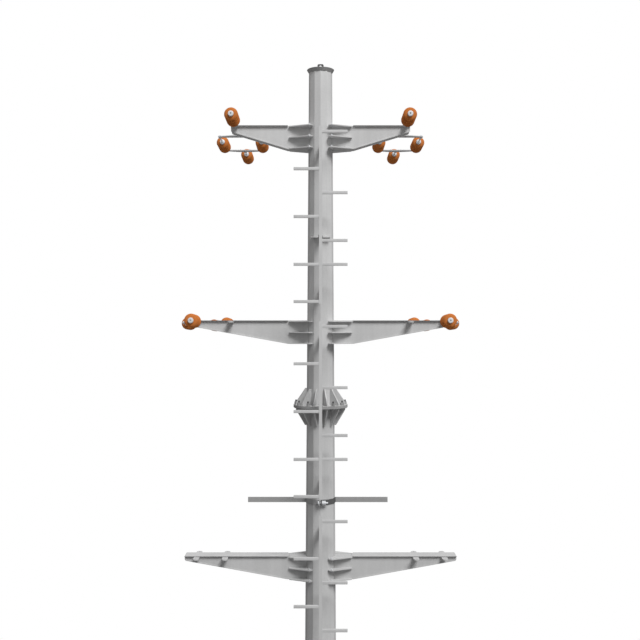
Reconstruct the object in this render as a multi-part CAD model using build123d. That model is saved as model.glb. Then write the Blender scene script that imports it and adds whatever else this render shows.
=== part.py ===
from build123d import *
import math
import os

# Twelve-sided tapered steel pole for two circuits, in millimetres.
# The origin is the middle of the base flange's underside and +Z is up the shaft.
# The arms reach out along X. The step ladder runs down the -Y side.

# Shaft
shaft_top_z = 21010.0
side_count = 12
top_corner_radius = 232.0
taper_per_metre = 6.64
wall = 10.0
upper_joint_drop = 6699.0

# Flared cap and lifting eye
cap_radius = 270.0
cap_rim = 4.0
cap_flare = 64.0
eye_width = 124.0
eye_height = 119.0
eye_corner_radius = 30.0
eye_hole_radius = 27.0
eye_top_wall = 18.0
eye_thickness = 32.0

# Bolted joints between shaft sections
joint_ring_radius = 540.0
joint_ring_thickness = 26.0
joint_bolt_circle = 980.0
joint_hole_radius = 23.0
joint_upper_rib_height = 318.0
joint_lower_rib_height = 354.0
rib_toe = 45.0
rib_ring_margin = 35.0
rib_top_width = 50.0
rib_thickness = 20.0

# Base flange
base_ring_radius = 640.0
base_ring_thickness = 45.0
base_bolt_circle = 1120.0
base_hole_radius = 30.0
base_rib_height = 420.0

# Cross-arms: top plate below the shaft's top, reach from the axis, and depth of the box
upper_arm_drop = 1128.0
middle_arm_drop = 4998.0
lower_arm_drop = 9677.0
upper_arm_reach = 1782.0
long_arm_reach = 2700.0
upper_tip_depth = 122.0
long_tip_depth = 96.0
arm_root_depth = 466.0
arm_width = 312.0
arm_plate = 18.0
arm_edge_bevel = 14.0
web_plate = 12.0
web_inset = 50.0
bottom_lip = 12.0
arm_box_start = 650.0
tip_corner_radius = 36.0

# Root plates that carry an arm on the shaft
root_plate_start = 625.0
root_plate_step = 12.0
root_ear_x = 230.0
root_ear_y = 330.0
root_inner_x = 157.0
root_inner_y = 300.0
root_hole_x = 218.0
root_hole_y = 290.0
root_hole_radius = 17.0

# Line lugs on the edges of the arms' top plates, each level's dropped below the plate's top
lug_overhang = 175.0
lug_width = 112.0
lug_plate = 22.0
upper_lug_drop = 0.0
long_arm_lug_drop = 18.0
lug_hole_radius = 17.0
lug_hole_edge = 45.0
upper_line_inset = 95.0
middle_line_inset = 260.0
middle_spare_inset = 920.0
lower_line_inset = 243.0
lower_spare_inset = 810.0

# Insulator discs and the metal caps between them
disc_radius = 131.0
disc_rim = 22.0
disc_face_depth = 34.0
disc_face_radius = 64.0
disc_neck_radius = 56.0
disc_depth = 96.0
disc_pitch = 146.0
disc_count = 4
disc_sides = 10
metal_cap_radius = 52.0
metal_cap_sides = 6
end_cap_length = 40.0
end_eye_length = 80.0

# Forks and links of the strings
fork_width = 50.0
fork_strap = 12.0
fork_nose = 28.0
fork_depth = 66.0
fork_slack = 0.4
pin_clearance = 0.85
link_width = 40.0
link_thickness = 16.0
front_link_length = 215.0
upper_front_rise = 1.8
middle_front_rise = 2.1

# Rear assembly: a pair of strings between two yoke plates, then one string
upper_rear_sag = 1.6
middle_rear_sag = 2.0
yoke_thickness = 16.0
yoke_half_width = 455.0
yoke_end_depth = 83.0
yoke_depth = 170.0
yoke_nose_half_width = 120.0
yoke_hole_radius = 17.0
yoke_hole_edge = 42.0
pair_offset = 418.0
lug_link_length = 464.0
pair_link_length = 430.0
pair_end_link_length = 257.0
single_link_length = 253.0

# Ladder: rail sections stood off the shaft, with pegs to each side
rail_stand_off = 720.0
rail_width = 60.0
rail_depth = 50.0
rail_wall = 5.0
ladder_drop = 1270.0
rail_length = 3410.0
ladder_pitch = 3744.0
peg_reach = 518.0
peg_height = 58.0
peg_depth = 40.0
first_peg_drop = 100.0
wide_step = 715.0
peg_step = 459.0
stay_thickness = 16.0
stay_height = 200.0
upper_stay_drop = 360.0
lower_stay_rise = 220.0
bracket_drop = 3360.0
bracket_width = 380.0
bracket_thickness = 20.0
bracket_neck = 90.0
bracket_head = 70.0

# Hoop clamp in two halves, and the bars that it carries
hoop_drop = 8580.0
hoop_height = 100.0
hoop_thickness = 12.0
hoop_gap = 24.0
hoop_ear_reach = 80.0
hoop_ear_thickness = 14.0
hoop_bolt_radius = 19.0
bar_height = 104.0
bar_thickness = 12.0
bar_leg = 80.0
left_bar_end = 1450.0
right_bar_end = 1340.0

# Flat sides given to small holes, pins and rounded lug ends
hole_sides = 6
lug_end_sides = 12

# Sizes that follow from the ones above
side_angle = 360.0 / side_count
half_side = math.radians(side_angle / 2.0)
flat_taper = math.degrees(math.atan(taper_per_metre * math.cos(half_side) / 1000.0))
upper_joint_z = shaft_top_z - upper_joint_drop
lower_joint_z = upper_joint_z - 2.0 * ladder_pitch
upper_arm_z = shaft_top_z - upper_arm_drop
middle_arm_z = shaft_top_z - middle_arm_drop
lower_arm_z = shaft_top_z - lower_arm_drop
upper_line_x = upper_arm_reach - upper_line_inset
middle_line_x = long_arm_reach - middle_line_inset
middle_spare_x = long_arm_reach - middle_spare_inset
lower_line_x = long_arm_reach - lower_line_inset
lower_spare_x = long_arm_reach - lower_spare_inset
ladder_top_z = shaft_top_z - ladder_drop
rail_count = 1 + int((ladder_top_z - rail_length) // ladder_pitch)
bracket_z = shaft_top_z - bracket_drop
hoop_z = shaft_top_z - hoop_drop
web_y = arm_width / 2.0 - web_inset
lug_end = arm_width / 2.0 + lug_overhang
lug_hole_y = lug_end - lug_hole_edge
cap_length = disc_pitch - disc_depth
string_length = disc_count * disc_pitch
steepest = math.radians(max(upper_front_rise, middle_front_rise, upper_rear_sag, middle_rear_sag))
fork_clearance = fork_slack + lug_hole_edge * math.tan(steepest)


def corner_radius(z):
    """Distance from the axis to a corner of the shaft at height z."""
    return top_corner_radius + taper_per_metre * (shaft_top_z - z) / 1000.0


def flat_radius(z):
    """Distance from the axis to the middle of a flat side at height z."""
    return corner_radius(z) * math.cos(half_side)


def frustum(z_low, z_high, offset=0.0):
    """Solid inside the shaft's sides, moved outwards by offset, between two heights."""
    growth = offset / math.cos(half_side)
    low = Plane.XY.offset(z_low) * RegularPolygon(corner_radius(z_low) + growth, side_count)
    return extrude(low, amount=z_high - z_low, taper=flat_taper)


def upright_plate(points, thickness):
    """Plate with an outline of (x, z) points, centred on the XZ plane."""
    outline = Plane.XZ * make_face(Polyline(*points, close=True))
    return extrude(outline, amount=thickness / 2.0, both=True)


def level_plate(points, z_low, thickness):
    """Plate with an outline of (x, y) points, lying flat from z_low upwards."""
    outline = Plane.XY.offset(z_low) * make_face(Polyline(*points, close=True))
    return extrude(outline, amount=thickness)


def block(low, high):
    """Box between two opposite corners."""
    size = [b - a for a, b in zip(low, high)]
    middle = [(a + b) / 2.0 for a, b in zip(low, high)]
    return Pos(*middle) * Box(*size)


def upright_disc(radius, z_low, thickness):
    """Round plate or rod on the Z axis."""
    return Pos(0, 0, z_low + thickness / 2.0) * Cylinder(radius, thickness)


def small_hole(radius, z_low, thickness):
    """Cutter with flat sides that touch a circle, on the Z axis."""
    outline = Plane.XY.offset(z_low) * RegularPolygon(radius, hole_sides, major_radius=False)
    return extrude(outline, amount=thickness)


def prism(sides, radius, y_start, length):
    """Bar with a few flat sides along +Y."""
    outline = Plane.XZ.offset(-y_start) * RegularPolygon(radius, sides)
    return extrude(outline, amount=-length)


def shaft_section(z_low, z_high):
    """One hollow tapered length of the shaft."""
    return frustum(z_low, z_high) - frustum(z_low, z_high, -wall)


def corner_places(radius):
    """Places on a circle that face the shaft's corners."""
    angles = [math.radians(side_angle * index) for index in range(side_count)]
    return [(radius * math.cos(angle), radius * math.sin(angle)) for angle in angles]


def ribbed_flange(z, up, ring_radius, ring_thickness, bolt_circle, hole, rib_height,
                  floor_thickness):
    """Bolted ring with a rib on each flat side, above height z or below it.

    A floor thickness closes the bore at z, and nought leaves it open.
    """
    rib_edge = ring_radius - rib_ring_margin
    rib_end = z + up * (ring_thickness + rib_height)
    rib_start = min(flat_radius(z), flat_radius(rib_end)) / 2.0
    rib = upright_plate([
        (rib_start, z),
        (rib_edge, z),
        (rib_edge, z + up * (ring_thickness + rib_toe)),
        (flat_radius(rib_end) + rib_top_width, rib_end),
        (rib_start, rib_end),
    ], rib_thickness)
    holes = [Pos(x, y, 0) * hole for x, y in corner_places(bolt_circle / 2.0)]
    ring = upright_disc(ring_radius, min(z, z + up * ring_thickness), ring_thickness) - holes
    ribs = [Rot(0, 0, side_angle * (index + 0.5)) * rib for index in range(side_count)]
    bore_start = z + up * floor_thickness
    return ring + ribs - frustum(min(bore_start, rib_end), max(bore_start, rib_end))


def joint_flange(z, up):
    """One flange of a joint between two lengths of the shaft."""
    rib_height = joint_upper_rib_height if up > 0 else joint_lower_rib_height
    hole = small_hole(joint_hole_radius, z - joint_ring_thickness, 2.0 * joint_ring_thickness)
    return ribbed_flange(z, up, joint_ring_radius, joint_ring_thickness, joint_bolt_circle,
                         hole, rib_height, 0.0)


def base_flange():
    """Flange that stands on the foundation."""
    hole = upright_disc(base_hole_radius, 0.0, base_ring_thickness)
    return ribbed_flange(0.0, 1, base_ring_radius, base_ring_thickness, base_bolt_circle,
                         hole, base_rib_height, base_ring_thickness)


def top_cap():
    """Hollow cap that flares out from the shaft's top and closes it with a round plate."""
    flare_low = shaft_top_z - cap_flare
    foot_radius = corner_radius(flare_low)
    flare = Pos(0, 0, shaft_top_z - cap_flare / 2.0) * Cone(foot_radius, cap_radius, cap_flare)
    skirt = flare - frustum(flare_low, shaft_top_z)
    return skirt + upright_disc(cap_radius, shaft_top_z, cap_rim)


def lifting_eye():
    """Plate eye that stands on the cap."""
    z = shaft_top_z + cap_rim
    half = eye_thickness / 2.0
    hole_z = z + eye_height - eye_top_wall - eye_hole_radius
    outline = RectangleRounded(eye_width, 2.0 * eye_height, eye_corner_radius)
    plate = extrude(Plane.XZ * Pos(0, z) * outline, amount=half, both=True)
    hole = Pos(0, 0, hole_z) * Rot(90, 0, 0) * Cylinder(eye_hole_radius, eye_thickness)
    keep = block((-eye_width, -half, z), (eye_width, half, z + eye_height))
    return (plate - hole) & keep


def arm_webs(z, reach, tip_depth):
    """Two side plates of an arm's box, each with a round lower corner at the tip."""
    round_radius = min(tip_corner_radius, tip_depth / 2.0)
    outline = make_face(Polyline(
        (root_inner_x, z),
        (reach, z),
        (reach, z - tip_depth),
        (arm_box_start, z - arm_root_depth),
        (root_inner_x, z - arm_root_depth),
        close=True))
    tip_corners = outline.vertices().sort_by(Axis.X)[-2:]
    outline = fillet(tip_corners.sort_by(Axis.Y)[:1], round_radius)
    plate = extrude(Plane.XZ * outline, amount=web_plate / 2.0, both=True)
    middle_y = web_y - web_plate / 2.0
    return [Pos(0, middle_y, 0) * plate, Pos(0, -middle_y, 0) * plate]


def arm_top(z, reach):
    """Top plate of an arm's box, with its long edges bevelled on the underside."""
    half = arm_width / 2.0
    section = Plane.YZ.offset(root_plate_start) * make_face(Polyline(
        (-half, z),
        (half, z),
        (half - arm_edge_bevel, z - arm_plate),
        (-half + arm_edge_bevel, z - arm_plate),
        close=True))
    plate = extrude(section, amount=reach - root_plate_start)
    slot = block((root_plate_start, web_y, z - arm_plate), (arm_box_start, half, z))
    return plate - [slot, mirror(slot, about=Plane.XZ)]


def arm_bottom(z, reach, tip_depth):
    """Sloping bottom plate of an arm's box."""
    slope = (arm_root_depth - tip_depth) / (reach - arm_box_start)
    end_x = reach - min(tip_corner_radius, tip_depth / 2.0) / 2.0
    end_z = z - tip_depth - slope * (reach - end_x)
    half = web_y + bottom_lip
    plate = upright_plate([
        (arm_box_start, z - arm_root_depth),
        (end_x, end_z),
        (end_x, end_z + arm_plate),
        (arm_box_start, z - arm_root_depth + arm_plate),
    ], 2.0 * half)
    tie = block((root_plate_start, -web_y, z - arm_root_depth),
                (arm_box_start, web_y, z - arm_root_depth + arm_plate))
    return plate + tie


def root_plate(z_low):
    """Flared plate that hugs the shaft and ends in an ear at the front and back."""
    half = arm_width / 2.0
    plate = level_plate([
        (root_plate_start, -half),
        (root_plate_start, half),
        (root_ear_x, root_ear_y),
        (root_inner_x, root_inner_y),
        (root_inner_x, -root_inner_y),
        (root_ear_x, -root_ear_y),
    ], z_low, arm_plate)
    hole = small_hole(root_hole_radius, z_low, arm_plate)
    return plate - [Pos(root_hole_x, side * root_hole_y, 0) * hole for side in (-1, 1)]


def crossarm(z, reach, tip_depth):
    """Tapered box arm on the +X side, with its three root plates."""
    first_drop = arm_plate + root_plate_step
    drops = (first_drop, (arm_root_depth + first_drop) / 2.0, arm_root_depth)
    plates = arm_webs(z, reach, tip_depth) + [arm_bottom(z, reach, tip_depth)]
    plates += [root_plate(z - drop) for drop in drops]
    return arm_top(z, reach) + plates - frustum(z - arm_root_depth, z)


def line_lug(x, z, drop):
    """Lug welded to the front edge of an arm's top plate."""
    radius = lug_width / 2.0
    low, high = z - drop - lug_plate, z - drop
    plate = block((x - radius, -lug_end + radius, low), (x + radius, -web_y, high))
    end = Plane.XY.offset(low) * RegularPolygon(
        radius, lug_end_sides, major_radius=False, rotation=180.0 / lug_end_sides)
    hole = Pos(x, -lug_hole_y, 0) * upright_disc(lug_hole_radius, low, lug_plate)
    plate += Pos(x, -lug_end + radius, 0) * extrude(end, amount=lug_plate)
    return plate - [hole, arm_top(z, long_arm_reach)]


def line_lugs(z, drop, places):
    """Front and rear lugs at each place along both arms of one level."""
    lugs = []
    for x in places:
        front = line_lug(x, z, drop)
        lugs += [front, mirror(front, about=Plane.XZ)]
    return lugs + [mirror(lug, about=Plane.YZ) for lug in lugs]


def disc_side(y, radius, depth, heading):
    """Half of a disc that narrows from its rim at y to a radius, towards heading."""
    narrowing = (disc_radius - radius) * math.cos(math.pi / disc_sides)
    rim = Plane.XZ.offset(-y) * RegularPolygon(disc_radius, disc_sides)
    slope = math.degrees(math.atan(narrowing / depth))
    return extrude(rim, amount=-heading * depth, dir=(0, -1, 0), taper=slope)


def insulator_disc(y_start):
    """One disc with its neck towards -Y and its face towards +Y."""
    face_y = y_start + disc_depth - disc_face_depth
    rim_y = face_y - disc_rim
    neck = disc_side(rim_y, disc_neck_radius, rim_y - y_start, -1)
    face = disc_side(face_y, disc_face_radius, disc_face_depth, 1)
    return neck + prism(disc_sides, disc_radius, rim_y, disc_rim) + face


def string_discs(y_start):
    """Discs of one string that starts with a metal cap at y_start."""
    disc = insulator_disc(y_start + cap_length)
    return [Pos(0, index * disc_pitch, 0) * disc for index in range(disc_count)]


def metal_cap(y_start, length):
    """Metal cap or neck on a string's axis."""
    return prism(metal_cap_sides, metal_cap_radius, y_start, length)


def fork(y_pin, plate_thickness, hole_radius, heading):
    """Fork with its pin in a plate's hole at y_pin, opening away from heading."""
    inside = plate_thickness / 2.0 + fork_clearance
    outside = inside + fork_strap
    half = fork_width / 2.0
    nose, root = sorted((y_pin - heading * fork_nose, y_pin + heading * fork_depth))
    throat = y_pin + heading * (fork_depth - fork_strap)
    throat_low, throat_high = sorted((throat, y_pin - heading * fork_nose))
    body = block((-half, nose, -outside), (half, root, outside))
    body -= block((-half, throat_low, -inside), (half, throat_high, inside))
    outline = Plane.XY.offset(-outside) * RegularPolygon(
        hole_radius - pin_clearance, hole_sides, rotation=180.0 / hole_sides)
    return body + Pos(0, y_pin, 0) * extrude(outline, amount=2.0 * outside)


def bar(y_start, y_end):
    """Flat bar on edge along a string's axis."""
    half = link_thickness / 2.0
    return block((-half, y_start, -link_width / 2.0), (half, y_end, link_width / 2.0))


def string_head(y_pin, length, plate_thickness, hole_radius):
    """Fork, bar and first cap of a string."""
    y_cap = y_pin + length
    head = fork(y_pin, plate_thickness, hole_radius, 1) + bar(y_pin + fork_depth - fork_strap, y_cap)
    return head + metal_cap(y_cap, cap_length)


def inner_caps(y_start):
    """Caps between the discs of a string that starts at y_start."""
    return [metal_cap(y_start + index * disc_pitch, cap_length) for index in range(1, disc_count)]


def end_eye(y_start):
    """End cap with the plate eye that a line clamp hangs on."""
    eye_y = y_start + end_cap_length + end_eye_length - link_width / 2.0
    eye = bar(y_start + end_cap_length, eye_y)
    eye += Pos(0, eye_y, 0) * Rot(0, 90, 0) * Cylinder(link_width / 2.0, link_thickness)
    return metal_cap(y_start, end_cap_length) + eye


def yoke_plate(y_edge, heading):
    """Trapezoid plate with its long edge at y_edge and its nose along heading."""
    shoulder = y_edge + heading * yoke_end_depth
    nose = y_edge + heading * yoke_depth
    plate = level_plate([
        (-yoke_half_width, y_edge),
        (yoke_half_width, y_edge),
        (yoke_half_width, shoulder),
        (yoke_nose_half_width, nose),
        (-yoke_nose_half_width, nose),
        (-yoke_half_width, shoulder),
    ], -yoke_thickness / 2.0, yoke_thickness)
    hole = small_hole(yoke_hole_radius, -yoke_thickness / 2.0, yoke_thickness)
    places = [(side * pair_offset, y_edge + heading * yoke_hole_edge) for side in (-1, 1)]
    places.append((0.0, nose - heading * yoke_hole_edge))
    return plate - [Pos(x, y, 0) * hole for x, y in places]


# Places along the rear assembly, measured from the lug's hole
first_yoke_edge = lug_link_length - yoke_hole_edge + yoke_depth
pair_pin = first_yoke_edge - yoke_hole_edge
pair_start = pair_pin + pair_link_length
pair_end = pair_start + string_length + end_cap_length
second_yoke_edge = pair_end + pair_end_link_length - yoke_hole_edge
single_pin = second_yoke_edge + yoke_depth - yoke_hole_edge
single_start = single_pin + single_link_length


def front_frame(drop, rise):
    """Place of a string pinned to a front lug, rising away from the arm."""
    return Pos(0, -lug_hole_y, -drop - lug_plate / 2.0) * Rot(0, 0, 180) * Rot(rise, 0, 0)


def rear_frame(drop, sag):
    """Place of the assembly pinned to a rear lug, sagging away from the arm."""
    return Pos(0, lug_hole_y, -drop - lug_plate / 2.0) * Rot(-sag, 0, 0)


def front_metal():
    """Metal pieces of a front string, from its pin."""
    head = string_head(0.0, front_link_length, lug_plate, lug_hole_radius)
    tail = metal_cap(front_link_length + string_length, end_cap_length)
    return [head, tail] + inner_caps(front_link_length)


def rear_metal():
    """Metal pieces of a rear assembly, apart from its yoke plates."""
    lug_link = fork(0.0, lug_plate, lug_hole_radius, 1)
    lug_link += bar(fork_depth - fork_strap, lug_link_length - fork_depth + fork_strap)
    lug_link += fork(lug_link_length, yoke_thickness, yoke_hole_radius, -1)
    head = string_head(pair_pin, pair_link_length, yoke_thickness, yoke_hole_radius)
    tail_pin = second_yoke_edge + yoke_hole_edge
    tail = metal_cap(pair_end - end_cap_length, end_cap_length)
    tail += bar(pair_end, tail_pin - fork_depth + fork_strap)
    tail += fork(tail_pin, yoke_thickness, yoke_hole_radius, -1)
    pieces = [lug_link]
    for side in (-1, 1):
        pieces += [Pos(side * pair_offset, 0, 0) * piece
                   for piece in [head, tail] + inner_caps(pair_start)]
    pieces.append(string_head(single_pin, single_link_length, yoke_thickness, yoke_hole_radius))
    pieces.append(end_eye(single_start + string_length))
    return pieces + inner_caps(single_start)


def rear_discs():
    """Discs of a rear assembly."""
    discs = string_discs(single_start)
    for side in (-1, 1):
        discs += [Pos(side * pair_offset, 0, 0) * disc for disc in string_discs(pair_start)]
    return discs


def line_set(drop, rise, sag):
    """Discs, metal pieces and yoke plates of the strings at one place on an arm."""
    front, rear = front_frame(drop, rise), rear_frame(drop, sag)
    discs = [front * disc for disc in string_discs(front_link_length)]
    discs += [rear * disc for disc in rear_discs()]
    metal = [front * piece for piece in front_metal()]
    metal += [rear * piece for piece in rear_metal()]
    yokes = [yoke_plate(first_yoke_edge, -1), yoke_plate(second_yoke_edge, 1)]
    return discs, metal, [rear * yoke for yoke in yokes]


def rail_tops():
    """Height of each rail section's top end."""
    return [ladder_top_z - index * ladder_pitch for index in range(rail_count)]


def ladder_rails():
    """Rail sections, one above the other."""
    tube = Box(rail_width, rail_depth, rail_length)
    tube -= Box(rail_width - 2.0 * rail_wall, rail_depth - 2.0 * rail_wall, rail_length)
    return [Pos(0, -rail_stand_off, top - rail_length / 2.0) * tube for top in rail_tops()]


def ladder_pegs(side, drops):
    """Pegs on one side of the rails, at drops below each section's top."""
    x_low, x_high = sorted((side * rail_width / 2.0, side * peg_reach))
    half_depth, half_height = peg_depth / 2.0, peg_height / 2.0
    peg = block((x_low, -half_depth, -half_height), (x_high, half_depth, half_height))
    return [Pos(0, -rail_stand_off, top - drop) * peg for top in rail_tops() for drop in drops]


def rail_stays():
    """Upright plates that hold the rails off the shaft."""
    stays = []
    half = stay_thickness / 2.0
    back = -rail_stand_off + rail_depth / 2.0
    for top in rail_tops():
        for middle in (top - upper_stay_drop, top - rail_length + lower_stay_rise):
            low = middle - stay_height / 2.0
            stay = block((-half, back, low), (half, 0.0, low + stay_height))
            stays.append(stay - frustum(low, low + stay_height))
    return stays


def rail_bracket():
    """Level T-shaped plate between the shaft and the top rail section."""
    back = -rail_stand_off + rail_depth / 2.0
    low = bracket_z - bracket_thickness / 2.0
    head_y = -corner_radius(low) - bracket_head
    plate = level_plate([
        (-bracket_neck / 2.0, back),
        (bracket_neck / 2.0, back),
        (bracket_neck / 2.0, head_y),
        (bracket_width / 2.0, head_y),
        (bracket_width / 2.0, 0.0),
        (-bracket_width / 2.0, 0.0),
        (-bracket_width / 2.0, head_y),
        (-bracket_neck / 2.0, head_y),
    ], low, bracket_thickness)
    return plate - frustum(low, low + bracket_thickness)


def hoop_half(side):
    """Half of the clamp band, with a bolting ear at the front and back."""
    low = hoop_z - hoop_height / 2.0
    high = low + hoop_height
    outer = corner_radius(low) + hoop_thickness
    band = frustum(low, high, hoop_thickness)
    inner_x, ear_x = hoop_gap / 2.0, hoop_gap / 2.0 + hoop_ear_thickness
    ear_y = outer + hoop_ear_reach
    hole_y = outer + hoop_ear_reach / 2.0
    for end in (-1, 1):
        y_low, y_high = sorted((0.0, end * ear_y))
        x_low, x_high = sorted((side * inner_x, side * ear_x))
        band += block((x_low, y_low, low), (x_high, y_high, high))
        hole = Pos(0, end * hole_y, hoop_z) * Rot(0, 90, 0) * Cylinder(hoop_bolt_radius, 2.0 * outer)
        band -= hole
    x_low, x_high = sorted((side * inner_x, side * 2.0 * outer))
    keep = block((x_low, -2.0 * outer, low), (x_high, 2.0 * outer, high))
    return (band & keep) - frustum(low, high)


def crossbar(side, end):
    """Angle bar that stands out from the side of the clamp."""
    low = hoop_z - bar_height / 2.0
    x_low, x_high = sorted((0.0, side * end))
    front = -bar_thickness / 2.0
    upright = block((x_low, front, low), (x_high, front + bar_thickness, low + bar_height))
    leg = block((x_low, front, low), (x_high, front + bar_leg, low + bar_thickness))
    reach = frustum(low - bar_height, low + 2.0 * bar_height, hoop_thickness)
    return upright + leg - reach


def save(name, solids):
    """Write one node's solids."""
    shape = solids[0] if len(solids) == 1 else Compound(children=solids)
    export_step(shape, f"parts/{name}.step")


def both_sides(name, solids):
    """Write a node for the right side and its mirror image for the left."""
    save(name + "_right", solids)
    save(name + "_left", [mirror(solid, about=Plane.YZ) for solid in solids])


def build():
    """Write every node."""
    os.makedirs("parts", exist_ok=True)
    save("shaft_top_section", [shaft_section(upper_joint_z, shaft_top_z)])
    save("shaft_middle_section", [shaft_section(lower_joint_z, upper_joint_z)])
    save("shaft_bottom_section", [shaft_section(base_ring_thickness, lower_joint_z)])
    save("top_cap", [top_cap()])
    save("lifting_eye", [lifting_eye()])
    save("upper_joint_top_flange", [joint_flange(upper_joint_z, 1)])
    save("upper_joint_bottom_flange", [joint_flange(upper_joint_z, -1)])
    save("lower_joint_top_flange", [joint_flange(lower_joint_z, 1)])
    save("lower_joint_bottom_flange", [joint_flange(lower_joint_z, -1)])
    save("base_flange", [base_flange()])

    both_sides("upper_arm", [crossarm(upper_arm_z, upper_arm_reach, upper_tip_depth)])
    both_sides("middle_arm", [crossarm(middle_arm_z, long_arm_reach, long_tip_depth)])
    both_sides("lower_arm", [crossarm(lower_arm_z, long_arm_reach, long_tip_depth)])
    save("upper_line_lugs", line_lugs(upper_arm_z, upper_lug_drop, [upper_line_x]))
    middle_places, lower_places = [middle_line_x, middle_spare_x], [lower_line_x, lower_spare_x]
    save("middle_line_lugs", line_lugs(middle_arm_z, long_arm_lug_drop, middle_places))
    save("lower_line_lugs", line_lugs(lower_arm_z, long_arm_lug_drop, lower_places))

    kinds = ("insulator_discs", "string_fittings", "yoke_plates")
    upper_set = line_set(upper_lug_drop, upper_front_rise, upper_rear_sag)
    for kind, solids in zip(kinds, upper_set):
        both_sides("upper_" + kind, [Pos(upper_line_x, 0, upper_arm_z) * solid for solid in solids])
    middle_set = line_set(long_arm_lug_drop, middle_front_rise, middle_rear_sag)
    for kind, solids in zip(kinds, middle_set):
        both_sides("middle_" + kind, [Pos(middle_line_x, 0, middle_arm_z) * solid for solid in solids])

    first = first_peg_drop
    left_first = first + wide_step
    right_drops = [first, left_first + peg_step, left_first + 3 * peg_step, left_first + 4 * peg_step]
    left_drops = [left_first, left_first + 2 * peg_step, left_first + 4 * peg_step,
                  left_first + 4 * peg_step + wide_step]
    save("ladder_rails", ladder_rails())
    save("ladder_pegs_right", ladder_pegs(1, right_drops))
    save("ladder_pegs_left", ladder_pegs(-1, left_drops))
    save("rail_stays", rail_stays())
    save("rail_bracket", [rail_bracket()])
    save("hoop_right_half", [hoop_half(1)])
    save("hoop_left_half", [hoop_half(-1)])
    save("crossbar_right", [crossbar(1, right_bar_end)])
    save("crossbar_left", [crossbar(-1, left_bar_end)])


build()
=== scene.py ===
import math

import bpy
from mathutils import Matrix, Vector


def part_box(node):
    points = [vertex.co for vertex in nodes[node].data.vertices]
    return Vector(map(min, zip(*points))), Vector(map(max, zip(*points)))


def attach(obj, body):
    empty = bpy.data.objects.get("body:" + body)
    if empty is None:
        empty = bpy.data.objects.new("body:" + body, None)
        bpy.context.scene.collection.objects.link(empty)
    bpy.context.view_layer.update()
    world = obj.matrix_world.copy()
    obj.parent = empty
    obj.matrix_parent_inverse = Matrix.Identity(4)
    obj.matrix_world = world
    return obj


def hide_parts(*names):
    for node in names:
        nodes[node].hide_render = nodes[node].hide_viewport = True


bl_info = {
    "name": "Steel distribution pole",
    "version": (1, 0, 0),
    "blender": (4, 5, 0),
    "location": "View3D > Sidebar > Pole",
    "description": "Dresses the packed solids of a flanged steel pole with its steel, glaze and bolts",
    "category": "Object",
}

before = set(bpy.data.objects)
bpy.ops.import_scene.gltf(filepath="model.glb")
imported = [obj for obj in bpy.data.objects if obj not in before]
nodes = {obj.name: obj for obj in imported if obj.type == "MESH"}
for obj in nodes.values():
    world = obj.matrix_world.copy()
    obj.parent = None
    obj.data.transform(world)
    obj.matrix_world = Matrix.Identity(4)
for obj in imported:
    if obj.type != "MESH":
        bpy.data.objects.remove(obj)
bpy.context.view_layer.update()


def lowest(node):
    """Height of a solid's lowest point."""
    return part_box(node)[0].z


def highest(node):
    """Height of a solid's highest point."""
    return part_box(node)[1].z


def middle(node):
    """Height halfway up a solid."""
    return (lowest(node) + highest(node)) / 2.0


SIDES = {"right": 1, "left": -1}

# Joints between the shaft's sections and the base, with a bolt at each corner of the shaft
JOINT_HEIGHTS = {level: lowest(f"{level}_joint_top_flange") for level in ("upper", "lower")}
RING_THICKNESS = 0.026
JOINT_BOLT_RADIUS = 0.490
BASE_THICKNESS = 0.045
BASE_BOLT_RADIUS = 0.560
SHAFT_CORNERS = 12

# A flange's steep faces beyond this share of its radius are the edge of its ring, painted darker as shade
RING_EDGE_SHARE = 0.955
STEEP_NORMAL = 0.3

# Arms whose root plates are bolted, the drop of each plate and the holes in its ears
BOLTED_ROOT_HEIGHTS = [highest(f"{level}_arm_right") for level in ("upper", "lower")]
ROOT_PLATE_DROPS = (0.012, 0.230, 0.448)
ROOT_PLATE_THICKNESS = 0.018
ROOT_HOLE = (0.218, 0.290)

# Line holes out along the arms, to the front or back, and up, and the strings' tilt in degrees
LINE_REACH = {"upper": 1.687, "middle": 2.440}
LINE_HOLE = 0.286
LINE_HEIGHTS = {level: middle(f"{level}_line_lugs") for level in LINE_REACH}
FRONT_RISE = {"upper": 1.8, "middle": 2.1}
REAR_SAG = {"upper": 1.6, "middle": 2.0}

# Spacing of a string, measured from its first cap
DISC_PITCH = 0.146
DISC_COUNT = 4
STRING_LENGTH = DISC_PITCH * DISC_COUNT

# Places along the strings' assemblies, measured from the lug's hole
FRONT_START = 0.215
FIRST_YOKE_PIN = 0.464
PAIR_PIN = 0.550
PAIR_OFFSET = 0.418
PAIR_START = 0.980
PAIR_TAIL = PAIR_START + STRING_LENGTH
SECOND_YOKE_PAIR_PIN = 1.861
SINGLE_PIN = 1.947
SINGLE_START = 2.200
SINGLE_TAIL = SINGLE_START + STRING_LENGTH
LAST_EYE = SINGLE_TAIL + 0.100

# Yoke plates, and their bolts to each side and along the assembly
YOKE_HALF_THICKNESS = 0.008
YOKE_BOLTS = ((0.114, 0.519), (0.110, 1.872))

# Ends of the link bars, from a pin, from a first cap and inside the tail caps
BAR_FROM_PIN = 0.060
BAR_FROM_CAP = 0.004
BAR_IN_PAIR_TAIL = 0.032
BAR_IN_SINGLE_TAIL = 0.030

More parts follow.
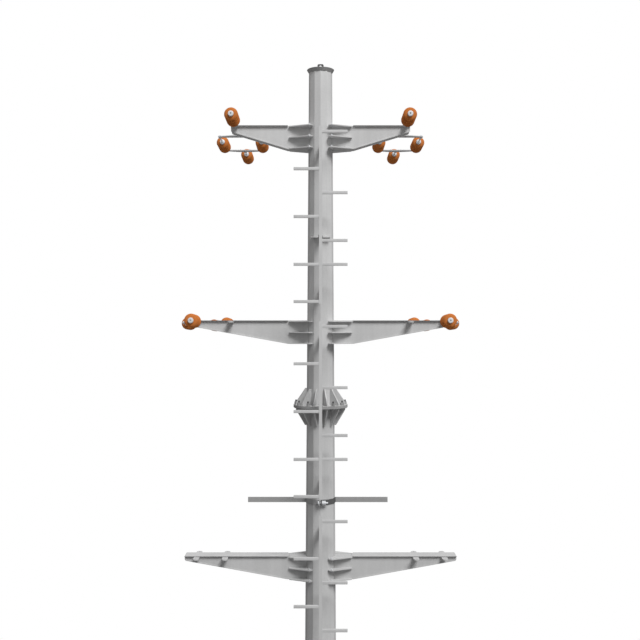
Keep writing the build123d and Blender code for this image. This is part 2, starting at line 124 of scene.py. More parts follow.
# Outlines of turned pieces, as heights along the string and shares of the radius
DISC_OUTLINE = (
    (0.044, 0.30), (0.046, 0.44), (0.051, 0.58), (0.060, 0.74), (0.071, 0.86), (0.083, 0.945),
    (0.092, 0.985), (0.100, 1.0), (0.108, 0.995), (0.116, 0.970), (0.1225, 0.925),
    (0.1240, 0.900), (0.1225, 0.885), (0.1300, 0.835), (0.1345, 0.780), (0.1355, 0.755),
    (0.1340, 0.740), (0.1390, 0.680), (0.1415, 0.630), (0.1420, 0.610), (0.1405, 0.595),
    (0.1440, 0.530), (0.1455, 0.470), (0.1455, 0.300),
)
CAP_OUTLINE = (
    (-0.012, 0.34), (0.0, 0.40), (0.003, 0.72), (0.009, 0.90),
    (0.018, 0.97), (0.040, 1.0), (0.050, 0.99), (0.054, 0.88),
)
TAIL_OUTLINE = (
    (-0.016, 0.80), (-0.008, 0.94), (0.004, 1.0), (0.024, 1.0), (0.034, 0.96),
    (0.039, 0.88), (0.040, 0.80), (0.040, 0.30), (0.018, 0.28),
)

# Ladder sections, and the drop of each peg below its section's top
RAIL_TOP = highest("ladder_rails")
RAIL_STAND_OFF = 0.720
RAIL_COUNT = 5
LADDER_PITCH = 3.744
PEG_DROPS = {
    "right": (0.100, 1.274, 2.192, 2.651),
    "left": (0.815, 1.733, 2.651, 3.366),
}
PEG_START = 0.030
WELD_SPAN = (0.0285, 0.0355)
WELD_PROUD = 0.003

# Hoop's bolts, in front of and behind the shaft
HOOP_HEIGHT = middle("hoop_left_half")
HOOP_BOLT_PLACE = 0.341

# Each zinc finish: its colour, the spread of its tone, its metal share and the depth of its grain
ZINC_FINISHES = {
    "galvanised steel": ("zinc", 0.10, 0.0, 0.0003),
    "weathered steel": ("weathered", 0.08, 0.0, 0.0003),
    "bare steel": ("bare", 0.12, 0.0, 0.0003),
    "bright fittings": ("fittings", 0.10, 0.15, 0.0002),
}

FLANGE_NODES = (
    "upper_joint_top_flange", "upper_joint_bottom_flange",
    "lower_joint_top_flange", "lower_joint_bottom_flange",
)
SOLID_FINISHES = {
    "galvanised steel": (
        "shaft_top_section", "shaft_middle_section", "shaft_bottom_section", "base_flange",
        "upper_arm_right", "upper_arm_left", "middle_arm_right", "middle_arm_left",
        "lower_arm_right", "lower_arm_left",
        "upper_line_lugs", "middle_line_lugs", "lower_line_lugs",
        "ladder_rails", "rail_stays", "rail_bracket",
        "upper_yoke_plates_right", "upper_yoke_plates_left",
        "middle_yoke_plates_right", "middle_yoke_plates_left",
    ) + FLANGE_NODES,
    # Darker zinc on the left hoop half and bars; on the cap it is painted shade for its shaded underside
    # and rim
    "weathered steel": ("top_cap", "hoop_left_half", "crossbar_right", "crossbar_left"),
    # The right hoop half is painted dark as shade on that side of the hoop; the lifting eye is dark steel
    "bare steel": ("lifting_eye", "hoop_right_half"),
}

# Studio
FLOOR_DROP = 0.001
SUN_PLACE = (6.0, -10.0, 30.0)
SUN_HEADING = (0.340, -0.552, 0.761)
SUN_ANGLE = 26.0
CAMERA_PLACE = (-0.011, -17.780, 16.020)
WHITE = (1.0, 1.0, 1.0, 1.0)


def length(name, description, default):
    """Length property in metres."""
    return bpy.props.FloatProperty(
        name=name, description=description, default=default, min=0.0, unit="LENGTH", precision=4)


def colour(name, description, default):
    """Colour property."""
    return bpy.props.FloatVectorProperty(
        name=name, description=description, default=default,
        size=3, subtype="COLOR", min=0.0, max=1.0)


def strength(name, description, default):
    """Light strength property."""
    return bpy.props.FloatProperty(name=name, description=description, default=default, min=0.0)


class PoleSizes(bpy.types.PropertyGroup):
    """Sizes of the pieces that dress the pole."""

    disc_radius: length("Disc radius", "Outer radius of an insulator disc", 0.131)
    cap_radius: length("Cap radius", "Radius of a metal cap", 0.054)
    peg_height: length("Peg height", "Height of a climbing peg", 0.058)
    peg_depth: length("Peg depth", "Depth of a climbing peg", 0.040)
    peg_reach: length("Peg reach", "Distance from the pole's middle to a peg's end", 0.518)
    joint_nut: length("Joint nut", "Distance across a joint nut's corners", 0.074)
    joint_stud: length("Joint stud", "Radius of a joint stud", 0.017)
    anchor_nut: length("Anchor nut", "Distance across an anchor nut's corners", 0.092)
    anchor_stud: length("Anchor stud", "Radius of an anchor bolt", 0.024)
    root_nut: length("Root nut", "Distance across a root plate nut's corners", 0.036)
    root_stud: length("Root stud", "Radius of a root plate's bolt", 0.011)
    yoke_nut: length("Yoke nut", "Distance across a yoke nut's corners", 0.038)
    yoke_stud: length("Yoke stud", "Radius of a yoke plate's bolt", 0.010)
    fork_pin: length("Fork pin", "Radius of a fork's bolt", 0.0165)


class PoleColours(bpy.types.PropertyGroup):
    """Colours of the pole's finishes."""

    zinc: colour("Zinc", "Galvanised steel", (0.63, 0.63, 0.63))
    # Darker zinc; on the cap, joint nuts and flange ring edges it is painted shade
    weathered: colour(
        "Darker zinc and painted shade", "Cap, left hoop half, bars, joint nuts and ring edges", (0.40, 0.40, 0.40))
    # Dark steel; on the right hoop half it is painted shade
    bare: colour("Bare steel", "Right hoop half, lifting eye and joint studs", (0.13, 0.13, 0.13))
    fittings: colour("Fittings", "Forks, caps and the small bolts", (0.70, 0.71, 0.73))
    glaze: colour("Glaze", "Insulator discs", (0.56, 0.185, 0.05))
    floor: colour("Floor", "Studio floor", (0.86, 0.86, 0.86))


class PoleStudio(bpy.types.PropertyGroup):
    """Light and floor."""

    sun: strength("Sun", "Strength of the key light", 3.05)
    sky: strength("Sky", "Strength of the fill from above", 0.40)
    ground: strength("Ground", "Strength of the fill from below", 0.17)
    floor_radius: length("Floor radius", "Radius of the studio floor", 6.0)


def drop_selection():
    """Back to object mode with nothing selected."""
    if bpy.context.object and bpy.context.object.mode != "OBJECT":
        bpy.ops.object.mode_set(mode="OBJECT")
    bpy.ops.object.select_all(action="DESELECT")


def turned(name, sides, stations):
    """Body about +Z, drawn out ring by ring through stations of height and radius."""
    drop_selection()
    height, radius = stations[0]
    bpy.ops.mesh.primitive_circle_add(
        vertices=sides, radius=radius, fill_type="NGON", location=(0.0, 0.0, height))
    piece = bpy.context.object
    piece.name = name
    bpy.ops.object.transform_apply(location=True, rotation=True, scale=True)
    bpy.ops.object.mode_set(mode="EDIT")
    bpy.ops.mesh.select_all(action="SELECT")
    for next_height, next_radius in stations[1:]:
        bpy.ops.mesh.extrude_region_move(
            TRANSFORM_OT_translate={"value": (0.0, 0.0, next_height - height)})
        factor = next_radius / radius
        bpy.ops.transform.resize(
            value=(factor, factor, 1.0), center_override=(0.0, 0.0, next_height))
        height, radius = next_height, next_radius
    bpy.ops.mesh.select_all(action="SELECT")
    bpy.ops.mesh.normals_make_consistent(inside=False)
    bpy.ops.object.mode_set(mode="OBJECT")
    return piece


def scaled(outline, radius):
    """Stations of an outline that is drawn in shares of a radius."""
    return [(height, share * radius) for height, share in outline]


def chamfered_block(name, low, high, chamfer, segments=2):
    """Block between two corners with chamfered edges."""
    drop_selection()
    centre = [(a + b) / 2.0 for a, b in zip(low, high)]
    size = [b - a for a, b in zip(low, high)]
    bpy.ops.mesh.primitive_cube_add(size=1.0, location=centre)
    piece = bpy.context.object
    piece.name = name
    bpy.ops.transform.resize(value=size, center_override=centre)
    bpy.ops.object.transform_apply(location=True, rotation=True, scale=True)
    bpy.ops.object.mode_set(mode="EDIT")
    bpy.ops.mesh.select_all(action="SELECT")
    bpy.ops.mesh.bevel(offset=chamfer, segments=segments, affect="EDGES")
    bpy.ops.object.mode_set(mode="OBJECT")
    return piece


def smoothed(piece, angle=40.0):
    """Smooth shading except across sharp edges."""
    drop_selection()
    piece.select_set(True)
    bpy.context.view_layer.objects.active = piece
    bpy.ops.object.shade_smooth_by_angle(angle=math.radians(angle))
    return piece


def joined(name, parts):
    """One piece from several, with its place in its mesh."""
    drop_selection()
    for part in parts:
        part.select_set(True)
    bpy.context.view_layer.objects.active = parts[0]
    if len(parts) > 1:
        bpy.ops.object.join()
    bpy.ops.object.transform_apply(location=True, rotation=True, scale=True)
    piece = bpy.context.object
    piece.name = name
    piece.data.name = name
    return piece


def copies(source, places):
    """A copy of a modelled piece at each place, each with its own mesh."""
    made = []
    for place in places:
        copy = source.copy()
        copy.data = source.data.copy()
        copy.matrix_world = place
        bpy.context.collection.objects.link(copy)
        made.append(copy)
    return made


def discard(*pieces):
    """Remove the models that copies were taken from."""
    for piece in pieces:
        bpy.data.objects.remove(piece, do_unlink=True)


def coated(piece, name):
    """Give a piece one finish all over."""
    piece.data.materials.clear()
    piece.data.materials.append(finish(name))
    return piece


def mounted(piece, slot, *replaced):
    """Fix a finished piece to the pole, in place of the solids that it stands for."""
    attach(piece, "root")
    if replaced:
        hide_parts(*replaced)


def shift(x=0.0, y=0.0, z=0.0):
    """Place moved from the origin."""
    return Matrix.Translation((x, y, z))


def turn(degrees, axis):
    """Place turned about an axis through the origin."""
    return Matrix.Rotation(math.radians(degrees), 4, axis)


ALONG_X = turn(90.0, "Y")
ALONG_Y = turn(-90.0, "X")
UPSIDE_DOWN = turn(180.0, "X")
BACKWARDS = turn(180.0, "Z")


def arm_ends():
    """Level, side name and side of each arm end that carries strings."""
    return [(level, name, side) for level in LINE_REACH for name, side in SIDES.items()]


def front_frame(level, side):
    """Place of a string pinned to a front lug, running along its own +Y."""
    hole = shift(side * LINE_REACH[level], -LINE_HOLE, LINE_HEIGHTS[level])
    return hole @ BACKWARDS @ turn(FRONT_RISE[level], "X")


def rear_frame(level, side):
    """Place of the assembly pinned to a rear lug, running along its own +Y."""
    hole = shift(side * LINE_REACH[level], LINE_HOLE, LINE_HEIGHTS[level])
    return hole @ turn(-REAR_SAG[level], "X")


def string_starts(front, rear):
    """Place of the first cap of each string at one end of an arm."""
    return [
        front @ shift(y=FRONT_START),
        rear @ shift(-PAIR_OFFSET, PAIR_START),
        rear @ shift(PAIR_OFFSET, PAIR_START),
        rear @ shift(y=SINGLE_START),
    ]


def threaded(starts):
    """Place of each disc and its cap along strings."""
    return [
        start @ shift(y=index * DISC_PITCH) @ ALONG_Y
        for start in starts for index in range(DISC_COUNT)]


def add(tree, kind, inputs=None, **settings):
    """New shader node with its settings and the values of its inputs."""
    node = tree.new(f"ShaderNode{kind}")
    for name, value in settings.items():
        setattr(node, name, value)
    for socket, value in (inputs or {}).items():
        node.inputs[socket].default_value = value
    return node


def new_group(name, inputs, outputs):
    """Empty node group with named sockets."""
    group = bpy.data.node_groups.new(name, "ShaderNodeTree")
    for socket, kind, default in inputs:
        made = group.interface.new_socket(name=socket, in_out="INPUT", socket_type=kind)
        if default is not None:
            made.default_value = default
    for socket, kind in outputs:
        group.interface.new_socket(name=socket, in_out="OUTPUT", socket_type=kind)
    return group


def zinc_surface():
    """Node group for a zinc coat: cloudy patches, crystals, rain streaks and a fine grain."""
    group = new_group(
        "zinc surface",
        [("Place", "NodeSocketVector", None), ("Contrast", "NodeSocketFloat", 1.0)],
        [("Tone", "NodeSocketFloat"), ("Fade", "NodeSocketFloat"),
         ("Roughness", "NodeSocketFloat"), ("Height", "NodeSocketFloat")])
    tree, link = group.nodes, group.links.new
    start = tree.new("NodeGroupInput")
    end = tree.new("NodeGroupOutput")

    cloud = add(tree, "TexNoise", {"Scale": 1.7, "Detail": 5.0})
    crystal = add(tree, "TexVoronoi", {"Scale": 42.0})
    grain = add(tree, "TexNoise", {"Scale": 260.0, "Detail": 2.0})
    stretch = add(tree, "Mapping", {"Scale": (9.0, 9.0, 0.35)})
    streak = add(tree, "TexNoise", {"Scale": 1.0, "Detail": 4.0})
    for texture in (cloud, crystal, grain, stretch):
        link(start.outputs["Place"], texture.inputs["Vector"])
    link(stretch.outputs["Vector"], streak.inputs["Vector"])
    crystal_tone = add(tree, "SeparateColor")
    link(crystal.outputs["Color"], crystal_tone.inputs["Color"])

    total = None
    for source, weight in (
            (cloud.outputs["Fac"], 0.46), (streak.outputs["Fac"], 0.38),
            (crystal_tone.outputs["Red"], 0.08), (grain.outputs["Fac"], 0.08)):
        part = add(tree, "Math", {1: weight, 2: 0.0}, operation="MULTIPLY_ADD")
        link(source, part.inputs[0])
        if total:
            link(total, part.inputs[2])
        total = part.outputs[0]
    centred = add(tree, "Math", {1: 0.5}, operation="SUBTRACT")
    tone = add(tree, "Math", {2: 0.5}, operation="MULTIPLY_ADD")
    link(total, centred.inputs[0])
    link(centred.outputs[0], tone.inputs[0])
    link(start.outputs["Contrast"], tone.inputs[1])
    link(tone.outputs[0], end.inputs["Tone"])

    # The coat is darker lower down the shaft
    split = add(tree, "SeparateXYZ")
    fade = add(tree, "MapRange", {"From Min": 11.0, "From Max": 21.0, "To Min": 0.80, "To Max": 1.0})
    link(start.outputs["Place"], split.inputs["Vector"])
    link(split.outputs["Z"], fade.inputs["Value"])
    link(fade.outputs["Result"], end.inputs["Fade"])

    # Light patches are smoother than dark ones
    dullness = add(tree, "MapRange", {"From Min": 0.25, "From Max": 0.75, "To Min": 0.62, "To Max": 0.48})
    link(total, dullness.inputs["Value"])
    link(dullness.outputs["Result"], end.inputs["Roughness"])
    link(grain.outputs["Fac"], end.inputs["Height"])
    return group


def blank_material(name):
    """Material with only its shader and output, its nodes and the call that links them."""
    material = bpy.data.materials.new(name)
    material.use_nodes = True
    return material, material.node_tree.nodes, material.node_tree.links.new


def shade_ramp(tree, shade, positions, factors):
    """Colour ramp from a darker to a lighter tone of one colour."""
    ramp = add(tree, "ValToRGB")
    for stop, position, factor in zip(ramp.color_ramp.elements, positions, factors):
        stop.position = position
        stop.color = (*[min(1.0, channel * factor) for channel in shade], 1.0)
    return ramp


def zinc_material(name, shade, spread, metallic, grain_depth):
    """Zinc-coated steel around one colour, lighter and darker by spread."""
    material, tree, link = blank_material(name)
    shader = tree["Principled BSDF"]
    shader.inputs["Metallic"].default_value = metallic
    shader.inputs["Specular IOR Level"].default_value = 0.0
    place = add(tree, "TexCoord")
    surface = bpy.data.node_groups.get("zinc surface") or zinc_surface()
    coat = add(tree, "Group", node_tree=surface)
    ramp = shade_ramp(tree, shade, (0.3, 0.7), (1.0 - spread, 1.0 + spread))
    fade = add(tree, "Mix", {"Factor": 1.0}, data_type="RGBA", blend_type="MULTIPLY")
    relief = add(tree, "Bump", {"Distance": grain_depth, "Strength": 0.35})
    link(place.outputs["Object"], coat.inputs["Place"])
    link(coat.outputs["Tone"], ramp.inputs["Fac"])
    link(ramp.outputs["Color"], fade.inputs["A"])
    link(coat.outputs["Fade"], fade.inputs["B"])
    link(fade.outputs["Result"], shader.inputs["Base Color"])
    link(coat.outputs["Roughness"], shader.inputs["Roughness"])
    link(coat.outputs["Height"], relief.inputs["Height"])
    link(relief.outputs["Normal"], shader.inputs["Normal"])
    return material


def glaze_material(name, shade):
    """Red-brown porcelain glaze that thins to orange and pools darker."""
    material, tree, link = blank_material(name)
    shader = tree["Principled BSDF"]
    shader.inputs["Roughness"].default_value = 0.5
    shader.inputs["Specular IOR Level"].default_value = 0.0
    place = add(tree, "TexCoord")
    pool = add(tree, "TexNoise", {"Scale": 18.0, "Detail": 3.0})
    ramp = shade_ramp(tree, shade, (0.3, 0.72), (0.94, 1.05))
    link(place.outputs["Object"], pool.inputs["Vector"])
    link(pool.outputs["Fac"], ramp.inputs["Fac"])
    link(ramp.outputs["Color"], shader.inputs["Base Color"])
    return material


def finish(name):
    """One of the pole's finishes, made the first time it is asked for."""
    if name in bpy.data.materials:
        return bpy.data.materials[name]
    colours = bpy.context.scene.pole_colours
    if name == "brown glaze":
        return glaze_material(name, colours.glaze)
    shade, spread, metallic, grain_depth = ZINC_FINISHES[name]
    return zinc_material(name, getattr(colours, shade), spread, metallic, grain_depth)


class POLE_OT_finish_steel(bpy.types.Operator):
    """Give the solids of the shaft, arms, ladder and hoop their zinc finish"""

    bl_idname = "pole.finish_steel"
    bl_label = "Finish steel"

    def execute(self, context):
        for name, solids in SOLID_FINISHES.items():
            for solid in solids:
                coated(nodes[solid], name)
        # The outer edge of each flange ring is painted darker, as shade along the edge
        for flange in FLANGE_NODES:
            mesh = nodes[flange].data
            mesh.materials.append(finish("weathered steel"))
            edge = RING_EDGE_SHARE * max(vertex.co.xy.length for vertex in mesh.vertices)
            for face in mesh.polygons:
                if abs(face.normal.z) < STEEP_NORMAL and face.center.xy.length > edge:
                    face.material_index = 1
        return {"FINISHED"}


class POLE_OT_insulator_discs(bpy.types.Operator):
    """Turn one glazed disc with shallow rings in its face and thread it along every string"""

    bl_idname = "pole.insulator_discs"
    bl_label = "Insulator discs"

    def execute(self, context):
        radius = context.scene.pole_sizes.disc_radius
        disc = smoothed(turned("disc", 48, scaled(DISC_OUTLINE, radius)), 60.0)
        for level, side_name, side in arm_ends():
            starts = string_starts(front_frame(level, side), rear_frame(level, side))
            piece = joined(f"{level}_discs_{side_name}", copies(disc, threaded(starts)))
            coated(piece, "brown glaze")
            mounted(piece, "brown_glaze", f"{level}_insulator_discs_{side_name}")
        discard(disc)
        return {"FINISHED"}


def fork_with_pin(name, inside):
    """Fork whose pin stands on the origin and whose bar leaves along +Y."""
    pin = bpy.context.scene.pole_sizes.fork_pin
    half_width = 0.025
    nose, strap_end = -0.028, 0.064
    root_start, root_end = 0.052, 0.0655
    outside = inside + 0.012
    strap = chamfered_block(
        "strap", (-half_width, nose, inside), (half_width, strap_end, outside), 0.0022)
    other = copies(strap, [shift(z=-inside - outside)])
    root = chamfered_block(
        "root", (-half_width, root_start, -outside), (half_width, root_end, outside), 0.003)
    rod = smoothed(turned("pin", 28, [
        (-outside - 0.004, pin * 0.9), (-outside - 0.002, pin),
        (outside + 0.002, pin), (outside + 0.004, pin * 0.9)]))
    head = smoothed(turned("pin head", 28, [
        (outside, pin * 1.38), (outside + 0.001, pin * 1.42),
        (outside + 0.006, pin * 1.42), (outside + 0.0075, pin * 1.25)]))
    foot = copies(head, [UPSIDE_DOWN])
    return joined(name, [strap, root, rod, head] + other + foot)


def fork_places(rear):
    """Places of the forks at the yoke plates of one rear assembly."""
    places = [rear @ shift(y=FIRST_YOKE_PIN) @ BACKWARDS, rear @ shift(y=SINGLE_PIN)]
    for offset in (-PAIR_OFFSET, PAIR_OFFSET):
        line = rear @ shift(offset)
        places += [line @ shift(y=PAIR_PIN), line @ shift(y=SECOND_YOKE_PAIR_PIN) @ BACKWARDS]
    return places


def bar_spans(front, rear):
    """Place, start and end of each link bar at one end of an arm."""
    spans = [
        (front, BAR_FROM_PIN, FRONT_START - BAR_FROM_CAP),
        (rear, BAR_FROM_PIN, FIRST_YOKE_PIN - BAR_FROM_PIN),
        (rear, SINGLE_PIN + BAR_FROM_PIN, SINGLE_START - BAR_FROM_CAP),
        (rear, SINGLE_TAIL + BAR_IN_SINGLE_TAIL, LAST_EYE),
    ]
    for offset in (-PAIR_OFFSET, PAIR_OFFSET):
        line = rear @ shift(offset)
        spans += [
            (line, PAIR_PIN + BAR_FROM_PIN, PAIR_START - BAR_FROM_CAP),
            (line, PAIR_TAIL + BAR_IN_PAIR_TAIL, SECOND_YOKE_PAIR_PIN - BAR_FROM_PIN),
        ]
    return spans


def link_bar(place, start, end):
    """Flat bar on edge along a place's +Y."""
    half_width, half_height = 0.008, 0.020
    bar = chamfered_block(
        "bar", (-half_width, start, -half_height), (half_width, end, half_height), 0.002)
    bar.matrix_world = place
    return bar


class POLE_OT_string_ironwork(bpy.types.Operator):
    """Model the caps, forks, link bars and end eyes that carry the strings"""

    bl_idname = "pole.string_ironwork"
    bl_label = "String ironwork"

    def execute(self, context):
        radius = context.scene.pole_sizes.cap_radius
        cap = smoothed(turned("cap", 32, scaled(CAP_OUTLINE, radius)), 45.0)
        tail = smoothed(turned("tail cap", 32, scaled(TAIL_OUTLINE, radius)), 45.0)
        eye = smoothed(turned("eye", 28, [
            (-0.008, 0.0185), (-0.0065, 0.020), (0.0065, 0.020), (0.008, 0.0185)]))
        lug_fork = fork_with_pin("lug fork", 0.0146)
        yoke_fork = fork_with_pin("yoke fork", 0.0116)
        for level, side_name, side in arm_ends():
            front, rear = front_frame(level, side), rear_frame(level, side)
            starts = string_starts(front, rear)
            parts = copies(cap, threaded(starts))
            parts += copies(tail, [start @ shift(y=STRING_LENGTH) @ ALONG_Y for start in starts])
            parts += copies(lug_fork, [front, rear])
            parts += copies(yoke_fork, fork_places(rear))
            parts += [link_bar(*span) for span in bar_spans(front, rear)]
            parts += copies(eye, [rear @ shift(y=LAST_EYE) @ ALONG_X])
            piece = coated(joined(f"{level}_ironwork_{side_name}", parts), "bright fittings")
            mounted(piece, "bright_fittings", f"{level}_string_fittings_{side_name}")
        discard(cap, tail, eye, lug_fork, yoke_fork)
        return {"FINISHED"}


def bolt(name, nut, stud, grip, above, metal, rod_metal=None, below_head=True, lock_nut=False):
    """Bolt along +Z with its nut on a face at z = 0 and its head under -grip."""
    corner = nut / 2.0
    washer_edge = corner * 1.18
    seat = stud * 0.25
    bevelled = stud * 0.38
    nut_top = stud * 1.6
    head_top = stud * 1.35
    washer = smoothed(turned(name + " washer", 32, [
        (0.0, corner * 1.12), (0.0005, washer_edge), (stud * 0.22, washer_edge), (seat, corner * 1.12)]))
    top = turned(name + " nut", 6, [
        (seat, corner * 0.93), (bevelled, corner), (nut_top, corner),
        (nut_top + stud * 0.14, corner * 0.90)])
    rod = smoothed(turned(name + " rod", 20, [
        (-grip - stud * 0.2, stud * 0.9), (-grip, stud), (above - seat, stud), (above, stud * 0.78)]))
    parts = [washer, top, rod]
    if lock_nut:
        parts += copies(top, [shift(z=nut_top - stud * 0.11)])
    if below_head:
        under = shift(z=-grip) @ UPSIDE_DOWN
        parts += copies(washer, [under])
        head = turned(name + " head", 6, [
            (seat, corner * 0.93), (bevelled, corner), (head_top, corner),
            (head_top + stud * 0.15, corner * 0.88)])
        head.matrix_world = under
        parts.append(head)
    for part in parts:
        coated(part, rod_metal if rod_metal and part == rod else metal)
    return joined(name, parts)


class POLE_OT_yoke_bolts(bpy.types.Operator):
    """Put the pair of bolts on each yoke plate"""

    bl_idname = "pole.yoke_bolts"
    bl_label = "Yoke bolts"

    def execute(self, context):
        sizes = context.scene.pole_sizes
        model = bolt(
            "yoke bolt", sizes.yoke_nut, sizes.yoke_stud,
            grip=2.0 * YOKE_HALF_THICKNESS, above=0.019, metal="bright fittings")
        places = [
            rear_frame(level, side) @ shift(sign * x, y, YOKE_HALF_THICKNESS)
            for level, side_name, side in arm_ends() for x, y in YOKE_BOLTS for sign in (-1, 1)]
        mounted(joined("yoke_bolts", copies(model, places)), "bright_fittings")
        discard(model)
        return {"FINISHED"}


class POLE_OT_root_bolts(bpy.types.Operator):
    """Bolt the ears of the arms' root plates together around the shaft"""

    bl_idname = "pole.root_bolts"
    bl_label = "Root bolts"

    def execute(self, context):
        sizes = context.scene.pole_sizes
        model = bolt(
            "root bolt", sizes.root_nut, sizes.root_stud,
            grip=ROOT_PLATE_THICKNESS, above=0.028, metal="bright fittings")
        x, y = ROOT_HOLE
        places = [
            shift(side * x, face * y, height - drop)
            for height in BOLTED_ROOT_HEIGHTS for drop in ROOT_PLATE_DROPS
            for side in SIDES.values() for face in (-1, 1)]
        mounted(joined("root_bolts", copies(model, places)), "bright_fittings")
        discard(model)
        return {"FINISHED"}


def ring_places(radius, height):
    """Places around the pole, one at each corner of the shaft."""
    return [
        turn(360.0 / SHAFT_CORNERS * index, "Z") @ shift(radius, 0.0, height)
        for index in range(SHAFT_CORNERS)]


class POLE_OT_flange_bolts(bpy.types.Operator):
    """Bolt both joints between shaft sections and the base to its anchors"""

    bl_idname = "pole.flange_bolts"
    bl_label = "Flange bolts"

    def execute(self, context):
        sizes = context.scene.pole_sizes
        # Joint nuts are painted darker as shade around them; the studs are dark steel
        model = bolt(
            "joint bolt", sizes.joint_nut, sizes.joint_stud, grip=2.0 * RING_THICKNESS, above=0.092,
            metal="weathered steel", rod_metal="bare steel", lock_nut=True)
        for level, height in JOINT_HEIGHTS.items():
            places = ring_places(JOINT_BOLT_RADIUS, height + RING_THICKNESS)
            mounted(joined(f"{level}_joint_bolts", copies(model, places)), "weathered_steel")
        discard(model)
        model = bolt(
            "anchor bolt", sizes.anchor_nut, sizes.anchor_stud, grip=0.040, above=0.105,
            metal="galvanised steel", below_head=False)
        places = ring_places(BASE_BOLT_RADIUS, BASE_THICKNESS)
        mounted(joined("anchor_nuts", copies(model, places)), "galvanised_steel")
        discard(model)
        return {"FINISHED"}


class POLE_OT_step_pegs(bpy.types.Operator):
    """Cut the flat climbing pegs, with a weld at the rail and softened edges"""

    bl_idname = "pole.step_pegs"
    bl_label = "Step pegs"

    def execute(self, context):
        sizes = context.scene.pole_sizes
        half_height, half_depth = sizes.peg_height / 2.0, sizes.peg_depth / 2.0
        weld_depth, weld_height = half_depth + WELD_PROUD, half_height + WELD_PROUD
        weld_start, weld_end = WELD_SPAN
        step = chamfered_block(
            "step", (PEG_START, -half_depth, -half_height),
            (sizes.peg_reach, half_depth, half_height), 0.0035, 3)
        weld = chamfered_block(
            "weld", (weld_start, -weld_depth, -weld_height),
            (weld_end, weld_depth, weld_height), 0.003, 3)
        peg = smoothed(joined("peg", [step, weld]))
        for side_name, side in SIDES.items():
            outwards = shift() if side > 0 else BACKWARDS
            places = [
                shift(0.0, -RAIL_STAND_OFF, RAIL_TOP - LADDER_PITCH * section - drop) @ outwards
                for section in range(RAIL_COUNT) for drop in PEG_DROPS[side_name]]
            piece = coated(joined(f"pegs_{side_name}", copies(peg, places)), "galvanised steel")
            mounted(piece, "galvanised_steel", f"ladder_pegs_{side_name}")
        discard(peg)
        return {"FINISHED"}


class POLE_OT_hoop_bolts(bpy.types.Operator):
    """Close the hoop with a heavy bolt at the front and at the back"""

    bl_idname = "pole.hoop_bolts"
    bl_label = "Hoop bolts"

    def execute(self, context):
        head = turned("hoop bolt head", 6, [
            (-0.0545, 0.036), (-0.052, 0.0405), (-0.0275, 0.0405), (-0.026, 0.037)])
        nut = turned("hoop nut", 6, [
            (0.026, 0.041), (0.0285, 0.046), (0.060, 0.046), (0.0615, 0.043), (0.063, 0.046),
            (0.100, 0.046), (0.103, 0.041)])
        stud = smoothed(turned("hoop stud", 24, [
            (-0.030, 0.0178), (0.142, 0.0178), (0.147, 0.0145)]))
        model = joined("hoop bolt", [head, nut, stud])
        places = [
            shift(0.0, face * HOOP_BOLT_PLACE, HOOP_HEIGHT) @ ALONG_X for face in (-1, 1)]
        piece = coated(joined("hoop_bolts", copies(model, places)), "bright fittings")
        discard(model)
        mounted(piece, "bright_fittings")
        return {"FINISHED"}


def studio_floor(radius, shade):
    """Round pale floor just under the pole's foot."""
    drop_selection()
    bpy.ops.mesh.primitive_circle_add(
        vertices=96, radius=radius, fill_type="NGON", location=(0.0, 0.0, -FLOOR_DROP))
    floor = bpy.context.object
    floor.name = "floor"
    bpy.ops.object.transform_apply(location=True, rotation=True, scale=True)
    material, tree, _ = blank_material("studio floor")
    tree["Principled BSDF"].inputs["Base Color"].default_value = (*shade, 1.0)
    tree["Principled BSDF"].inputs["Roughness"].default_value = 0.9
    floor.data.materials.append(material)


def key_sun(energy):
    """Soft sun from the front right."""
    drop_selection()
    bpy.ops.object.light_add(type="SUN", location=SUN_PLACE)
    sun = bpy.context.object
    sun.name = "key sun"
    sun.data.energy = energy
    sun.data.angle = math.radians(SUN_ANGLE)
    sun.rotation_euler = Vector(SUN_HEADING).to_track_quat("Z", "Y").to_euler()


def studio_world(ground, sky):
    """Pale fill that is stronger from above, seen as white by the camera and in reflections."""
    world = bpy.data.worlds.new("studio")
    world.use_nodes = True
    tree, link = world.node_tree.nodes, world.node_tree.links.new
    heading = add(tree, "TexCoord")
    split = add(tree, "SeparateXYZ")
    level = add(tree, "MapRange", {"From Min": -0.6, "From Max": 0.6, "To Min": ground, "To Max": sky})
    fill = tree["Background"]
    fill.inputs["Color"].default_value = WHITE
    link(heading.outputs["Generated"], split.inputs["Vector"])
    link(split.outputs["Z"], level.inputs["Value"])
    link(level.outputs["Result"], fill.inputs["Strength"])

    backdrop = add(tree, "Background", {"Color": WHITE, "Strength": 1.0})
    rays = add(tree, "LightPath")
    seen = add(tree, "Math", operation="MAXIMUM")
    mirrored = add(tree, "Math", operation="MAXIMUM")
    either = add(tree, "MixShader")
    link(rays.outputs["Is Camera Ray"], seen.inputs[0])
    link(rays.outputs["Is Glossy Ray"], seen.inputs[1])
    link(seen.outputs[0], mirrored.inputs[0])
    link(rays.outputs["Is Transmission Ray"], mirrored.inputs[1])
    link(mirrored.outputs[0], either.inputs["Fac"])
    link(fill.outputs[0], either.inputs[1])
    link(backdrop.outputs[0], either.inputs[2])
    link(either.outputs[0], tree["World Output"].inputs["Surface"])
    return world


def level_camera():
    """Level camera in front of the middle arms."""
    drop_selection()
    bpy.ops.object.camera_add(location=CAMERA_PLACE, rotation=(math.radians(90.0), 0.0, 0.0))
    camera = bpy.context.object
    camera.data.lens = 50.0
    camera.data.sensor_width = 36.0
    camera.data.clip_end = 200.0
    return camera


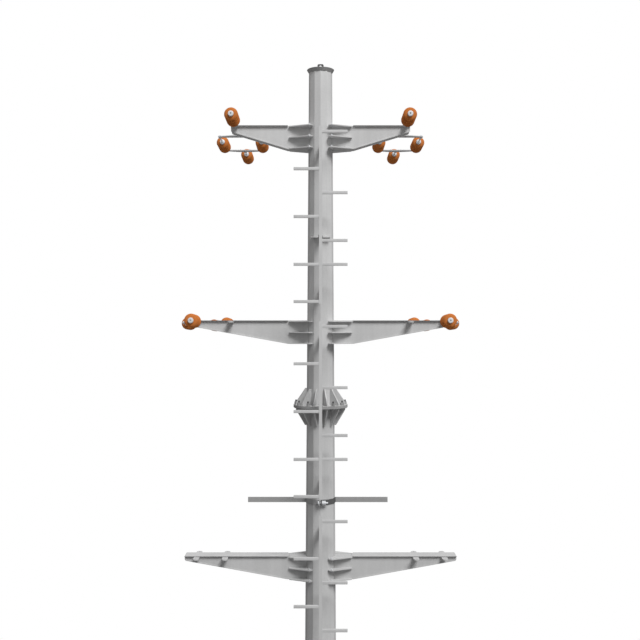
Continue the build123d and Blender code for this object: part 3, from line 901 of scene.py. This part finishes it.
class POLE_OT_stage(bpy.types.Operator):
    """Set the floor, the light and the camera"""

    bl_idname = "pole.stage"
    bl_label = "Stage"

    def execute(self, context):
        scene = context.scene
        studio = scene.pole_studio
        studio_floor(studio.floor_radius, scene.pole_colours.floor)
        key_sun(studio.sun)
        scene.world = studio_world(studio.ground, studio.sky)
        scene.camera = level_camera()
        scene.view_settings.view_transform = "Standard"
        return {"FINISHED"}


STEPS = (
    POLE_OT_stage,
    POLE_OT_finish_steel,
    POLE_OT_insulator_discs,
    POLE_OT_string_ironwork,
    POLE_OT_yoke_bolts,
    POLE_OT_root_bolts,
    POLE_OT_flange_bolts,
    POLE_OT_step_pegs,
    POLE_OT_hoop_bolts,
)


class POLE_PT_panel(bpy.types.Panel):
    """Sidebar panel with the pole's steps, sizes and colours"""

    bl_idname = "POLE_PT_panel"
    bl_label = "Steel pole"
    bl_space_type = "VIEW_3D"
    bl_region_type = "UI"
    bl_category = "Pole"

    def draw(self, context):
        for step in STEPS:
            self.layout.operator(step.bl_idname)
        for group in (context.scene.pole_sizes, context.scene.pole_colours, context.scene.pole_studio):
            box = self.layout.box()
            for name in group.__annotations__:
                box.prop(group, name)


CLASSES = (PoleSizes, PoleColours, PoleStudio) + STEPS + (POLE_PT_panel,)


def register():
    """Register the classes and the scene's settings."""
    for cls in CLASSES:
        bpy.utils.register_class(cls)
    bpy.types.Scene.pole_sizes = bpy.props.PointerProperty(type=PoleSizes)
    bpy.types.Scene.pole_colours = bpy.props.PointerProperty(type=PoleColours)
    bpy.types.Scene.pole_studio = bpy.props.PointerProperty(type=PoleStudio)


def unregister():
    """Remove the scene's settings and the classes."""
    del bpy.types.Scene.pole_studio
    del bpy.types.Scene.pole_colours
    del bpy.types.Scene.pole_sizes
    for cls in reversed(CLASSES):
        bpy.utils.unregister_class(cls)


def main():
    """Dress the pole step by step."""
    register()
    bpy.ops.pole.stage()
    bpy.ops.pole.finish_steel()
    bpy.ops.pole.insulator_discs()
    bpy.ops.pole.string_ironwork()
    bpy.ops.pole.yoke_bolts()
    bpy.ops.pole.root_bolts()
    bpy.ops.pole.flange_bolts()
    bpy.ops.pole.step_pegs()
    bpy.ops.pole.hoop_bolts()


if __name__ == "__main__":
    main()
